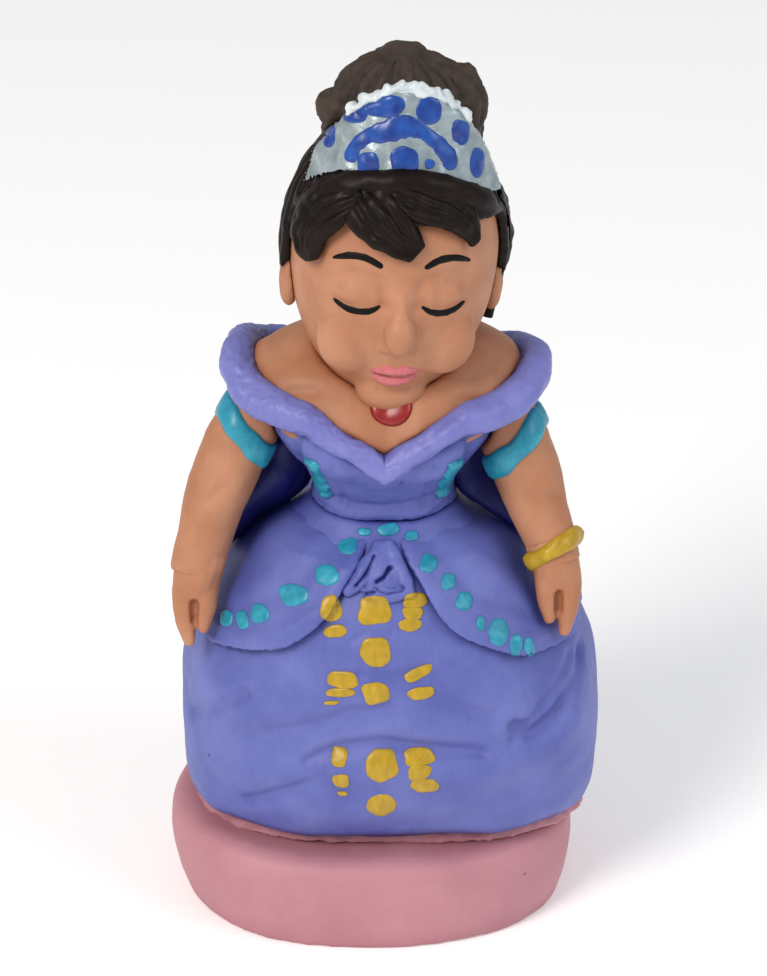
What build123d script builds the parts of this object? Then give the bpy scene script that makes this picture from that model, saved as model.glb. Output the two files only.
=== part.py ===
"""Small hand-painted figure of a lady in a ball gown, standing on an oval plinth.

The figure is built up the way a craft workshop does it: a wooden dowel runs from the plinth to the
head, and the moulded pieces (skirt, bodice, bust, head, hair, arms, trims) are threaded on it or
pressed on to each other and glued. Millimetres, +Z up, the figure faces -Y. The origin is at the
centre of the underside, where the figure stands.
"""
from build123d import *
from math import cos, sin, radians, pi
import os

# ---- driving dimensions -------------------------------------------------------------------------
plinth_width = 41.0
plinth_depth = 30.6
plinth_height = 10.0
plinth_offset_x = -1.1      # the figure stands a little off the plinth's middle
plinth_edge_round = 1.8
plinth_draft = 1.4          # how much narrower each side is at the foot

skirt_half_width = 20.9
skirt_half_depth = 16.2
skirt_offset_x = 0.75
skirt_height = 33.6
swag_thickness = 1.2
bead_width = 1.3
bead_height = 1.1

bodice_height = 8.8
waist_half_width = 7.2
waist_half_depth = 6.4
bust_half_width = 13.2
bust_half_depth = 8.6

collar_radius = 1.75
head_radius = 9.8
head_height = 27.6
head_offset = (0.9, -2.8)   # of the head's centre from the dowel's line
chin_rise = 2.9             # from the top of the bodice to the lowest point of the head
head_tilt = -4.0           # chin forward
head_roll = 3.0
head_yaw = 5.0
hair_thickness = 1.0

bun_half_width = 7.6
bun_half_depth = 7.4
bun_half_height = 8.6
bun_offset = (1.8, 2.2)
bun_sink = 11.6             # how far the bun reaches down below the crown

tiara_width = 18.4
tiara_height = 9.0
tiara_thickness = 1.1
tiara_drop = 4.3            # from the crown down to the tiara's foot
tiara_lean = 0.30           # how much the radius shrinks for each millimetre of height
tiara_roll = 4.0
pearl_radius = 0.62
pearl_count = 11

arm_radius = 3.1
wrist_radius = 2.35
band_thickness = 0.55
armband_width = 2.6
bracelet_width = 2.0

dowel_radius = 2.0
dowel_socket_depth = 6.5
wire_radius = 0.6
wire_grip = 2.4             # how far the wire reaches past the shoulder
peg_clearance = 0.05        # round a dowel or wire in its hole

# ---- heights worked out from them ---------------------------------------------------------------
skirt_foot_z = plinth_height
waist_z = skirt_foot_z + skirt_height
bust_z = waist_z + bodice_height
head_centre = (*head_offset, bust_z + chin_rise + head_height / 2)
crown_z = head_centre[2] + head_height / 2
bun_centre = (*bun_offset, crown_z - bun_sink + bun_half_height)
tiara_foot_z = crown_z - tiara_drop
tiara_foot_radius = head_radius + 0.2


# ---- helpers ------------------------------------------------------------------------------------
def plan(half_width, half_depth, square=2.0, centre=(0.0, 0.0), count=16):
    """Closed outline in plan: an ellipse at square=2, boxier above that."""
    points = []
    for i in range(count):
        angle = 2 * pi * i / count
        c, s = cos(angle), sin(angle)
        points.append((
            centre[0] + half_width * (1 if c > 0 else -1) * abs(c) ** (2 / square),
            centre[1] + half_depth * (1 if s > 0 else -1) * abs(s) ** (2 / square),
        ))
    return make_face(Spline(*points, periodic=True))


def stack(levels, grow=0.0):
    """Loft through plan outlines; a level is (z, half width, half depth, squareness, x, y)."""
    faces = [Pos(0, 0, z) * plan(w + grow, d + grow, q, (x, y)) for z, w, d, q, x, y in levels]
    return loft(faces)


def outline_point(level, angle, lift=0.0):
    """Point on a plan outline; angle 0 is +X and -90 the front. Lift moves it away from the middle."""
    z, w, d, q, x, y = level
    c, s = cos(radians(angle)), sin(radians(angle))
    across = (w + lift) * (1 if c > 0 else -1) * abs(c) ** (2 / q)
    deep = (d + lift) * (1 if s > 0 else -1) * abs(s) ** (2 / q)
    return (x + across, y + deep, z)


def level_at(levels, z):
    """Outline of a stack at height z, between its two nearest levels."""
    for low, high in zip(levels, levels[1:]):
        if z <= high[0]:
            share = (z - low[0]) / (high[0] - low[0])
            return tuple(a + (b - a) * share for a, b in zip(low, high))
    return levels[-1]


def limb(stations, across=(0, 1, 0)):
    """Loft of ellipses along a line; a station is (point, half width, half thickness)."""
    points = [Vector(*p) for p, _, _ in stations]
    faces = []
    for i, (_, width, thickness) in enumerate(stations):
        before, after = points[max(0, i - 1)], points[min(len(points) - 1, i + 1)]
        along = (after - before).normalized()
        side = Vector(*across).cross(along).normalized()
        faces.append(Plane(origin=points[i], x_dir=side, z_dir=along) * Ellipse(width, thickness))
    return loft(faces)


def ellipsoid(centre, rx, ry, rz, turn=(0, 0, 0)):
    """Rounded lump with a small flat at each end of its own Z."""
    rows = [radians(t) for t in (-80, -58, -30, 0, 30, 58, 80)]
    faces = [Pos(0, 0, rz * sin(t)) * plan(rx * cos(t), ry * cos(t), count=12) for t in rows]
    return Pos(*centre) * Rotation(*turn) * loft(faces)


def largest(shape):
    """The biggest solid of a cut, without loose chips."""
    return Part() + max(shape.solids(), key=lambda s: s.volume)


def cut_by(body, cutters):
    """What is left of a piece where others take up its room."""
    for piece in cutters:
        body = largest(body - piece)
    return body


def upright_dowel(radius, low, high):
    return Pos(0, 0, (low + high) / 2) * Cylinder(radius, high - low)


# ---- the plinth and the core --------------------------------------------------------------------
def plinth():
    half_w, half_d = plinth_width / 2, plinth_depth / 2
    middle = (plinth_offset_x, 0.0)
    foot = plan(half_w - plinth_draft, half_d - plinth_draft / 2, 2.3, middle)
    body = loft([
        foot,
        Pos(0, 0, plinth_height * 0.55) * plan(half_w, half_d, 2.3, middle),
        Pos(0, 0, plinth_height) * plan(half_w - 0.3, half_d - 0.2, 2.3, middle),
    ])
    top_edges = body.edges().group_by(Axis.Z)[-1]
    body = fillet(top_edges, plinth_edge_round)
    socket = upright_dowel(dowel_radius + peg_clearance, plinth_height - dowel_socket_depth, plinth_height + 1)
    return body - socket


def skirt_levels():
    """Outline of the skirt from its foot to the waist."""
    w, d, x, foot = skirt_half_width, skirt_half_depth, skirt_offset_x, skirt_foot_z
    tall = skirt_height
    return [
        (foot, w * 0.86, d * 0.68, 2.6, x, 0.0),
        (foot + 0.045 * tall, w * 0.93, d * 0.79, 2.6, x, 0.0),
        (foot + 0.16 * tall, w * 0.985, d * 0.95, 2.5, x, 0.0),
        (foot + 0.34 * tall, w, d, 2.4, x, 0.0),
        (foot + 0.52 * tall, w * 0.955, d * 0.99, 2.3, x * 0.7, 0.0),
        (foot + 0.70 * tall, w * 0.80, d * 0.92, 2.15, x * 0.4, -0.3),
        (foot + 0.85 * tall, w * 0.62, d * 0.76, 2.0, 0.1, -0.8),
        (foot + 0.95 * tall, w * 0.44, d * 0.53, 2.0, 0.0, -1.2),
        (waist_z, waist_half_width, waist_half_depth, 2.0, 0.0, -1.4),
    ]


def skirt_body():
    hole = upright_dowel(dowel_radius + peg_clearance, skirt_foot_z - 1, waist_z + 1)
    return stack(skirt_levels()) - hole


def joint_bead(skirt):
    """Raised bead of filler round the foot of the skirt."""
    _, w, d, q, x, y = skirt_levels()[0]
    ring = loft([
        Pos(0, 0, skirt_foot_z) * plan(w + bead_width, d + bead_width, q, (x, y)),
        Pos(0, 0, skirt_foot_z + bead_height) * plan(w + bead_width * 0.6, d + bead_width * 0.6, q, (x, y)),
    ])
    inner = extrude(Pos(0, 0, skirt_foot_z - 1) * plan(w - bead_width, d - bead_width, q, (x, y)), bead_height + 2)
    return largest(ring - inner - skirt)


def swag(side, skirt):
    """One draped side panel of the overskirt: a thin layer over the skirt, open at the middle."""
    levels = skirt_levels()
    grown = [(z, w + swag_thickness * min(1, (waist_z - z) / 3), d + swag_thickness * min(1, (waist_z - z) / 3),
              q, x, y) for z, w, d, q, x, y in levels]
    outer = stack(grown)
    reach = skirt_half_width + 6
    edge = Spline(
        (side * 0.35, waist_z + 0.2),
        (side * 3.2, waist_z - 3.4),
        (side * 7.0, waist_z - 8.4),
        (side * 12.5, waist_z - 11.4),
        (side * reach, waist_z - 12.8),
    )
    outline = Wire([
        edge,
        Line((side * reach, waist_z - 12.8), (side * reach, waist_z + 0.2)),
        Line((side * reach, waist_z + 0.2), (side * 0.35, waist_z + 0.2)),
    ])
    curtain = extrude(Plane.XZ * make_face(outline), skirt_half_depth + 8, both=True)
    return largest((outer & curtain) - skirt)


def front_gather(skirt, swags):
    """Pinched knot of cloth where the two swags meet at the front."""
    knot = ellipsoid((-0.3, 3.9 - skirt_half_depth, waist_z - 3.8), 3.0, 2.2, 3.4, (-38, 0, 0))
    return cut_by(knot, [skirt, *swags])


# ---- the bodice, the bust and the collar --------------------------------------------------------
def bodice_levels():
    w, d = waist_half_width, waist_half_depth
    rise = bodice_height
    return [
        (waist_z, w, d, 2.0, 0.0, -1.4),
        (waist_z + 0.22 * rise, w * 0.97, d * 0.98, 2.0, 0.0, -1.5),
        (waist_z + 0.55 * rise, w * 1.20, d * 1.22, 2.1, 0.0, -2.0),
        (bust_z, w * 1.52, d * 1.40, 2.2, 0.1, -2.2),
    ]


def bodice():
    hole = upright_dowel(dowel_radius + peg_clearance, waist_z - 1, bust_z + 1)
    return stack(bodice_levels()) - hole


def bust_levels():
    _, w, d, q, x, y = bodice_levels()[-1]
    wide, deep = bust_half_width, bust_half_depth
    return [
        (bust_z, w, d, q, x, y),
        (bust_z + 2.4, wide * 0.93, deep * 1.03, 2.3, 0.1, -1.9),
        (bust_z + 4.9, wide, deep * 0.90, 2.3, 0.2, -1.2),
        (bust_z + 7.0, wide * 0.88, deep * 0.72, 2.1, 0.4, -0.4),
        (bust_z + 8.8, wide * 0.56, deep * 0.60, 2.0, 0.6, 0.4),
        (bust_z + 11.0, 4.9, 4.8, 2.0, 0.8, 0.6),
        (bust_z + 15.0, 4.5, 4.5, 2.0, 0.8, 0.6),
    ]


def collar_roll(side):
    """One side of the off-the-shoulder roll, from the V in front to the middle of the back."""
    low = 0.0 if side < 0 else 1.0
    levels = bust_levels()
    steps = [(-94, 0.1, 0.4), (-66, 1.3, 0.5), (-42, 3.1 - 0.6 * low, 0.8), (-20, 5.2 - 0.9 * low, 1.1),
             (6, 6.2 - 1.2 * low, 1.2), (32, 5.0 - 0.8 * low, 1.2), (60, 3.2 - 0.4 * low, 1.0), (96, 2.4, 0.9)]
    points = []
    for angle, rise, lift in steps:
        x, y, z = outline_point(level_at(levels, bust_z + rise), angle, lift)
        points.append((side * x, y, z))
    line = Spline(*points)
    stations = []
    for i in range(13):
        swell = collar_radius * (0.66 + 0.34 * sin(pi * min(1.0, i / 6) / 2))
        stations.append((line @ (i / 12), swell, swell))
    tube = limb(stations, across=(0, 0, 1))
    return largest(tube & Pos(side * 20, 0, bust_z) * Box(40, 60, 60))


def pendant(bust):
    disc = Pos(0.5, -1.3 - bust_half_depth, bust_z + 3.2) * Rotation(68, 0, 0) * extrude(Circle(2.0), 1.1, both=True)
    return largest(disc - bust)


def bodice_trim(side, bodice_solid):
    """Raised strip of braid down one side of the bodice front."""
    levels = bodice_levels()
    stations = []
    for share, width in ((0.80, 0.75), (0.52, 0.8), (0.24, 0.7)):
        x, y, z = outline_point(level_at(levels, waist_z + share * bodice_height), -53, 0.05)
        stations.append(((side * x, y, z), width, 0.8))
    strip = limb(stations)
    return largest(strip - bodice_solid)


# ---- the head and the hair ----------------------------------------------------------------------
def head_place():
    return Pos(*head_centre) * Rotation(head_tilt, head_roll, head_yaw)


def egg(grow=0.0):
    """Egg narrower at the chin, in the head's own frame."""
    r, half = head_radius + grow, head_height / 2 + grow
    rows = [(-0.985, 0.18), (-0.86, 0.47), (-0.62, 0.745), (-0.3, 0.93), (0.08, 1.0), (0.42, 0.945),
            (0.7, 0.76), (0.9, 0.49), (0.985, 0.2)]
    return loft([Pos(0, 0, half * z) * plan(r * k, r * k, count=12) for z, k in rows])


def on_head(azimuth, height, lift=0.0):
    """Point near the head's surface; azimuth 0 is the face, 90 the figure's side at +X."""
    half = head_height / 2
    r = (head_radius + lift) * max(0.05, 1 - (height / (half + lift)) ** 2) ** 0.5
    a = radians(azimuth)
    place = head_place() * Pos(r * sin(a), -r * cos(a), height)
    return tuple(place.position)


def head():
    blank = head_place() * egg()
    nose = head_place() * ellipsoid((0, -head_radius + 0.2, -4.0), 1.5, 1.7, 2.2, (-14, 0, 0))
    hole = upright_dowel(dowel_radius + peg_clearance, bust_z, head_centre[2] + 4)
    return largest(blank + nose - hole)


def ear(side, head_solid):
    lobe = head_place() * ellipsoid((side * (head_radius - 0.2), 0.6, -2.2), 1.1, 1.7, 2.9)
    return largest(lobe - head_solid)


def hair_cap(cutters):
    """Hair over the back and crown of the head, open at the face."""
    shell = head_place() * egg(hair_thickness)
    r, half = head_radius, head_height / 2
    hairline = [(-3 * r, -3 * half), (3 * r, -3 * half), (3 * r, -0.66 * half), (0.7 * r, -0.66 * half),
                (0.36 * r, -0.2 * half), (-0.06 * r, -0.08 * half), (-0.26 * r, 0.42 * half), (-3 * r, 0.62 * half)]
    cut = extrude(Plane.YZ * make_face(Polyline(*hairline, close=True)), 3 * r, both=True)
    return cut_by(shell - head_place() * cut, cutters)


def lock(path, cutters):
    """One thick lock laid on the head; a step is (azimuth, height, half width, half thickness)."""
    stations = [(on_head(a, h, hair_thickness * 0.95), w, t) for a, h, w, t in path]
    centre = Vector(*head_centre)
    points = [Vector(*p) for p, _, _ in stations]
    faces = []
    for i, (_, width, thickness) in enumerate(stations):
        before, after = points[max(0, i - 1)], points[min(len(points) - 1, i + 1)]
        along = (after - before).normalized()
        out = (points[i] - centre).normalized()
        side = out.cross(along).normalized()
        faces.append(Plane(origin=points[i], x_dir=side, z_dir=along) * Ellipse(width, thickness))
    return cut_by(loft(faces), cutters)


def bun(cutters):
    return cut_by(ellipsoid(bun_centre, bun_half_width, bun_half_depth, bun_half_height), cutters)


def tiara_place():
    """The tiara sits askew: turned about the middle of its own foot."""
    return Pos(1.5, -0.6, tiara_foot_z) * Rotation(0, tiara_roll, 4.0)


def tiara_radius(z):
    """Outer radius of the conical band that leans back towards the bun, z above its foot."""
    return tiara_foot_radius - tiara_lean * z


def tiara_shell(thickness):
    low, high = -4.0, tiara_height + 2.0
    outer = Pos(0, 0, (low + high) / 2) * Cone(tiara_radius(low), tiara_radius(high), high - low)
    inner = Pos(0, 0, (low + high) / 2) * Cone(tiara_radius(low) - thickness, tiara_radius(high) - thickness,
                                               high - low)
    return outer - inner


def tiara(cutters):
    half, tip = tiara_width / 2, -1.2
    top = Spline((-half, tip), (-half * 0.74, tiara_height * 0.45), (-half * 0.4, tiara_height * 0.84), (0, tiara_height),
                 (half * 0.4, tiara_height * 0.84), (half * 0.74, tiara_height * 0.45), (half, tip))
    bottom = Spline((half, tip), (0, 0.6), (-half, tip))
    window = extrude(Plane.XZ * make_face(Wire([top, bottom])), 20)
    band = tiara_place() * (tiara_shell(tiara_thickness) & window)
    return cut_by(band, cutters)


def tiara_pearls(band):
    """Row of small balls along the top edge of the tiara."""
    balls = []
    for i in range(pearl_count):
        share = 0.62 * (-1 + 2 * (i + 0.5) / pearl_count)
        x = share * tiara_width / 2
        z = tiara_height * (1 - abs(share) ** 2) + pearl_radius * 0.4
        y = -((tiara_radius(z) - tiara_thickness / 2) ** 2 - x ** 2) ** 0.5
        balls.append(largest(tiara_place() * Pos(x, y, z) * Sphere(pearl_radius) - band))
    return balls


# ---- the arms -----------------------------------------------------------------------------------
def arm_points(side):
    """Shoulder, upper arm, elbow, forearm, wrist; the figure's left arm (+X) hangs a little shorter."""
    short = 0.0 if side < 0 else 1.0
    shoulder = Vector(side * (bust_half_width - 2.65), -1.2, bust_z + 3.6 - short)
    wrist = Vector(side * (skirt_half_width - 2.65 - 1.4 * short), 9.0 - 0.4 * short - skirt_half_depth,
                   waist_z - 5.9 + 1.3 * short)
    bow = Vector(side * (1.0 - 0.8 * short), 0.4, 0)
    return [shoulder + (wrist - shoulder) * t + bow * sin(pi * t) for t in (0, 0.27, 0.54, 0.82, 1)]


def hand_points(side):
    """Wrist, knuckles, finger roots, finger tips."""
    lean = -side * 0.1 if side < 0 else 0.5
    steps = [(0, 0, 0), (0.2, -1.0, -1.7), (0.5, -2.0, -3.9), (0.6, -2.8, -6.0)]
    return [arm_points(side)[-1] + Vector(lean * x, y, z) for x, y, z in steps]


def arm(side, cutters):
    radii = [arm_radius * 0.97, arm_radius * 1.03, arm_radius, arm_radius * 0.86, wrist_radius]
    body = limb([(p, r, r) for p, r in zip(arm_points(side), radii)])
    return cut_by(body, [*cutters, arm_wire(side, peg_clearance)])


def hand(side, cutters):
    w = wrist_radius
    sizes = [(w, w), (w * 1.15, w * 0.85), (w * 1.05, w * 0.62), (w * 0.45, w * 0.3)]
    body = limb([(p, a, b) for p, (a, b) in zip(hand_points(side), sizes)])
    return cut_by(body, [*cutters, arm_wire(side, peg_clearance)])


def arm_wire(side, grow=0.0):
    """Straight stiff wire through the arm, from inside the bust to the knuckles."""
    shoulder, wrist = arm_points(side)[0], arm_points(side)[-1]
    along = (wrist - shoulder).normalized()
    start = shoulder - along * wire_grip
    length = (wrist - shoulder).length + wire_grip * 1.5
    return Plane(origin=start + along * (length / 2), z_dir=along) * Cylinder(wire_radius + grow, length + grow)


def cuff(side, share, width, tilt, cutters):
    """Band round an arm, at a share of the way from shoulder to wrist."""
    points = arm_points(side)
    steps = len(points) - 1
    i = min(int(share * steps), steps - 1)
    part_way = share * steps - i
    middle = points[i] + (points[i + 1] - points[i]) * part_way
    along = (points[i + 1] - points[i]).normalized()
    radius = (arm_radius if share < 0.7 else wrist_radius * 1.07) + band_thickness
    plane = Plane(origin=middle, z_dir=along).rotated((0, side * tilt, 0))
    band = plane * Cylinder(radius, width)
    band = fillet(band.edges().filter_by(GeomType.CIRCLE), band_thickness * 0.8)
    return cut_by(band, cutters)


# ---- assembly -----------------------------------------------------------------------------------
def build():
    pieces = {}
    skirt = skirt_body()
    pieces["plinth"] = plinth()
    pieces["skirt_body"] = skirt
    pieces["skirt_joint_bead"] = joint_bead(skirt)
    swags = [swag(-1, skirt), swag(1, skirt)]
    pieces["swag_left"], pieces["swag_right"] = swags
    pieces["front_gather"] = front_gather(skirt, swags)

    rolls = [collar_roll(-1), collar_roll(1)]
    head_solid = head()
    wires = [arm_wire(-1, peg_clearance), arm_wire(1, peg_clearance)]
    dowel_hole = upright_dowel(dowel_radius + peg_clearance, bust_z - 1, bust_z + 20)
    bodice_solid = cut_by(bodice(), rolls)
    bust = cut_by(stack(bust_levels()), [*rolls, dowel_hole, head_place() * egg(), *wires])
    pieces["collar_roll_left"], pieces["collar_roll_right"] = rolls
    pieces["bodice"] = bodice_solid
    pieces["bust"] = bust
    pieces["pendant"] = cut_by(pendant(bust), [head_solid, *rolls])
    pieces["bodice_trim_left"] = bodice_trim(-1, bodice_solid)
    pieces["bodice_trim_right"] = bodice_trim(1, bodice_solid)

    for name, side in (("left", -1), ("right", 1)):
        torso = [bust, *rolls, bodice_solid, skirt, *swags]
        upper = arm(side, torso)
        fingers = hand(side, [upper, skirt, *swags])
        pieces[f"arm_{name}"] = upper
        pieces[f"hand_{name}"] = fingers
        pieces[f"arm_wire_{name}"] = arm_wire(side)
        pieces[f"armband_{name}"] = cuff(side, 0.27, armband_width, 30, [upper, fingers, *torso,
                                                                        arm_wire(side, peg_clearance)])
    pieces["bracelet"] = cuff(1, 0.88, bracelet_width, 0, [pieces["arm_right"], pieces["hand_right"], skirt,
                                                           *swags, arm_wire(1, peg_clearance)])

    ears = [ear(-1, head_solid), ear(1, head_solid)]
    pieces["head"] = head_solid
    pieces["ear_left"], pieces["ear_right"] = ears
    cap = hair_cap([head_solid, *ears, bust])
    locks = {
        "fringe_lock_left": [(-30, 9.4, 1.8, 1.0), (-47, 7.4, 3.0, 1.2), (-56, 4.2, 2.4, 1.1), (-50, 1.9, 0.8, 0.6)],
        "fringe_lock_centre": [(-28, 9.4, 1.6, 1.0), (-15, 7.4, 3.0, 1.3), (-4, 5.6, 2.2, 1.2), (6, 4.0, 1.1, 0.8)],
        "fringe_lock_right": [(-8, 9.8, 1.6, 1.0), (12, 8.6, 2.4, 1.2), (30, 7.2, 2.0, 1.1), (40, 4.4, 0.7, 0.6)],
        "side_lock_right": [(74, 8.0, 1.2, 0.9), (96, 3.0, 1.5, 0.9), (108, -2.0, 1.5, 0.9), (104, -6.5, 0.8, 0.7)],
    }
    made = []
    for name, path in locks.items():
        piece = lock(path, [head_solid, cap, *ears, *made])
        made.append(piece)
        pieces[name] = piece
    pieces["hair_cap"] = cap
    knot = bun([head_solid, cap, *made])
    band = tiara([cap, knot, head_solid, *made])
    pieces["bun"] = largest(knot - band)
    pieces["tiara"] = band
    pieces["tiara_pearls"] = Compound(children=[s for p in tiara_pearls(band) for s in p.solids()])

    top = head_centre[2] + 3.5
    pieces["core_dowel"] = upright_dowel(dowel_radius, plinth_height - dowel_socket_depth, top)
    return pieces


os.makedirs("parts", exist_ok=True)
for name, piece in build().items():
    export_step(piece, f"parts/{name}.step")
    box = piece.bounding_box()
    print(f"{name:20s} solids {len(piece.solids())}  volume {piece.volume:9.1f}  "
          f"x {box.min.X:6.1f} {box.max.X:6.1f}  y {box.min.Y:6.1f} {box.max.Y:6.1f}  z {box.min.Z:6.1f} {box.max.Z:6.1f}")
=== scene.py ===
from math import cos, sin, pi, radians

import bpy
import numpy as np
from mathutils import Matrix, Vector, noise
from mathutils.bvhtree import BVHTree


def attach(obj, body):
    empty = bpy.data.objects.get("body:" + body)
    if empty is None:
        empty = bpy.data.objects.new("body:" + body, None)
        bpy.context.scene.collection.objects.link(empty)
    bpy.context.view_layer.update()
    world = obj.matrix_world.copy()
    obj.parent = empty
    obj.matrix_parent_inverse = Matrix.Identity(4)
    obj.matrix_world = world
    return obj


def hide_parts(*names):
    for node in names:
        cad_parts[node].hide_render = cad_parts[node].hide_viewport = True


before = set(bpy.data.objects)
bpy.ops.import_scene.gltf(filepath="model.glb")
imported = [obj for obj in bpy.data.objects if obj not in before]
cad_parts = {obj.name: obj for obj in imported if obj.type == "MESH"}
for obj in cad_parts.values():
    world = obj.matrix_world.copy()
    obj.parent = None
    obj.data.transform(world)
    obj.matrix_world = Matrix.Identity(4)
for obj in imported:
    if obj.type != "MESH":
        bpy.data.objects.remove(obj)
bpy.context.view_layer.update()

# ---- the view, the light and the table -----------------------------------------------------------
# The figure stands on a plain pale table under two soft window-like lights and a pale room.
# The camera looks down at it from about 27 degrees, from arm's length.
MM = 0.001


def linear(hexcode):
    """sRGB hex colour as linear RGBA."""
    parts = [int(hexcode[i:i + 2], 16) / 255 for i in (1, 3, 5)]
    return tuple(c / 12.92 if c <= 0.04045 else ((c + 0.055) / 1.055) ** 2.4 for c in parts) + (1.0,)


def add(tree, kind, inputs, **settings):
    """Adds a node; an input is a value, or a socket to link from."""
    made = tree.nodes.new(kind)
    for key, value in settings.items():
        setattr(made, key, value)
    for key, value in inputs.items():
        if isinstance(value, bpy.types.NodeSocket):
            tree.links.new(value, made.inputs[key])
        else:
            made.inputs[key].default_value = value
    return made


scene = bpy.context.scene
aim, reach, pitch = Vector((0, 0, 0.0434)), 0.350, radians(27)
camera = bpy.data.objects.new("camera", bpy.data.cameras.new("camera"))
scene.collection.objects.link(camera)
camera.data.lens = 131.8
camera.data.sensor_width = 36.0
camera.data.clip_start = 0.01
camera.location = aim + reach * Vector((0, -cos(pitch), sin(pitch)))
camera.rotation_euler = (pi / 2 - pitch, 0, 0)
scene.camera = camera
scene.view_settings.view_transform = "Standard"


def area_light(name, place, size, power, colour):
    data = bpy.data.lights.new(name, "AREA")
    data.shape = "DISK"
    data.size = size
    data.energy = power
    data.color = linear(colour)[:3]
    lamp = bpy.data.objects.new(name, data)
    scene.collection.objects.link(lamp)
    lamp.location = place
    lamp.rotation_euler = (aim - Vector(place)).to_track_quat("-Z", "Y").to_euler()


area_light("window_left", (-0.35, -0.42, 0.52), 0.30, 3.3, "#fff8f0")
area_light("window_right", (0.45, -0.25, 0.40), 0.35, 1.0, "#f2f6ff")
world = bpy.data.worlds.new("room")
world.use_nodes = True
world.node_tree.nodes["Background"].inputs["Color"].default_value = linear("#f4f5f7")
world.node_tree.nodes["Background"].inputs["Strength"].default_value = 0.52
scene.world = world

table_mesh = bpy.data.meshes.new("table")
table_mesh.from_pydata([(-3, -3, 0), (3, -3, 0), (3, 3, 0), (-3, 3, 0)], [], [(0, 1, 2, 3)])
table = bpy.data.objects.new("table", table_mesh)
scene.collection.objects.link(table)
table_paint = bpy.data.materials.new("white_laminate")
table_paint.use_nodes = True
table_paint.node_tree.nodes["Principled BSDF"].inputs["Base Color"].default_value = linear("#ffffff")
table_paint.node_tree.nodes["Principled BSDF"].inputs["Roughness"].default_value = 0.7
table_paint.node_tree.nodes["Principled BSDF"].inputs["Emission Color"].default_value = linear("#ffffff")
table_paint.node_tree.nodes["Principled BSDF"].inputs["Emission Strength"].default_value = 0.16
table_mesh.materials.append(table_paint)

# ---- the plinth ----------------------------------------------------------------------------------
# A cast oval plinth with a soft rim, brushed all over with one coat of matt pink acrylic.
# The figure's dowel is glued into a hole in its top.


def paint(name, light, mid, dark, roughness=0.52, patch=5.0, tone=1.0, brush=0.05, grain=0.018, recess_shade=0.55,
          pits=0.86, streak=(1.0, 1.0, 0.2), metallic=0.0, coat=0.0, reach=3.0, shine=0.40):
    """Brushed acrylic on a cast body, with painted shade darkening its recesses. Sizes are in millimetres:
    patch is the size of the uneven tone, and reach is how far the painted shade looks for recesses.
    """
    material = bpy.data.materials.new(name)
    material.use_nodes = True
    tree = material.node_tree
    body = tree.nodes["Principled BSDF"]
    where = add(tree, "ShaderNodeTexCoord", {}).outputs["Object"]
    mm = add(tree, "ShaderNodeMapping", {"Vector": where, "Scale": (1000, 1000, 1000)}).outputs["Vector"]
    along = add(tree, "ShaderNodeMapping", {"Vector": mm, "Scale": streak}).outputs["Vector"]
    # uneven coat: broad patches of tone, and fine streaks from the brush's hairs
    broad = add(tree, "ShaderNodeTexNoise", {"Vector": mm, "Scale": 1 / patch, "Detail": 3.0}).outputs["Fac"]
    hairs = add(tree, "ShaderNodeTexNoise", {"Vector": along, "Scale": 2.2, "Detail": 4.0}).outputs["Fac"]
    fine = add(tree, "ShaderNodeTexNoise", {"Vector": mm, "Scale": 4.0, "Detail": 3.0}).outputs["Fac"]
    tones = add(tree, "ShaderNodeMapRange", {"Value": broad, "From Min": 0.32,
                                             "From Max": 0.68}).outputs["Result"]
    base = mix(tree, tones, linear(mid), linear(light))
    coat_tone = add(tree, "ShaderNodeMapRange", {"Value": hairs, "From Min": 0.3, "From Max": 0.75,
                                                 "To Min": 0.22 * tone, "To Max": 0.0}).outputs["Result"]
    streaked = mix(tree, coat_tone, base, linear(dark))
    # painted shade: the colour is pulled toward the dark colour where ambient occlusion finds recesses and
    # creases, by up to the given amount
    occlusion = add(tree, "ShaderNodeAmbientOcclusion", {"Distance": reach * MM}, samples=8).outputs["AO"]
    deep = add(tree, "ShaderNodeMapRange", {"Value": occlusion, "From Min": 0.25, "From Max": 0.92,
                                            "To Min": recess_shade, "To Max": 0.0}).outputs["Result"]
    shaded_colour = mix(tree, deep, streaked, linear(dark))
    # a few pin holes left by air in the casting, dented by the bump and coloured darker as painted shade
    # inside each hole
    cells = add(tree, "ShaderNodeTexVoronoi", {"Vector": mm, "Scale": 0.42, "Randomness": 1.0})
    hole = add(tree, "ShaderNodeMapRange", {"Value": cells.outputs["Distance"], "From Min": 0.045,
                                            "From Max": 0.085,
                                            "To Min": 1.0, "To Max": 0.0}).outputs["Result"]
    rare = add(tree, "ShaderNodeMath", {0: cells.outputs["Color"], 1: pits},
               operation="GREATER_THAN").outputs[0]
    pin = add(tree, "ShaderNodeMath", {0: hole, 1: rare}, operation="MULTIPLY").outputs[0]
    pit_shade = add(tree, "ShaderNodeMath", {0: pin, 1: 0.75}, operation="MULTIPLY").outputs[0]
    colour = mix(tree, pit_shade, shaded_colour, linear(dark))
    bump = add(tree, "ShaderNodeBump", {"Height": hairs, "Strength": 0.55, "Distance": brush * MM})
    bump = add(tree, "ShaderNodeBump", {"Height": fine, "Strength": 0.6, "Distance": grain * MM,
                                        "Normal": bump.outputs["Normal"]})
    bump = add(tree, "ShaderNodeBump", {"Height": pin, "Strength": 1.0, "Distance": 0.12 * MM,
                                        "Normal": bump.outputs["Normal"]}, invert=True)
    gloss = add(tree, "ShaderNodeMapRange", {"Value": hairs, "To Min": roughness - 0.08,
                                             "To Max": roughness + 0.10}).outputs["Result"]
    for key, value in (("Base Color", colour), ("Roughness", gloss), ("Normal", bump.outputs["Normal"])):
        tree.links.new(value, body.inputs[key])
    body.inputs["Metallic"].default_value = metallic
    body.inputs["Specular IOR Level"].default_value = shine
    body.inputs["Coat Weight"].default_value = coat
    body.inputs["Coat Roughness"].default_value = 0.25
    return material


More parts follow.
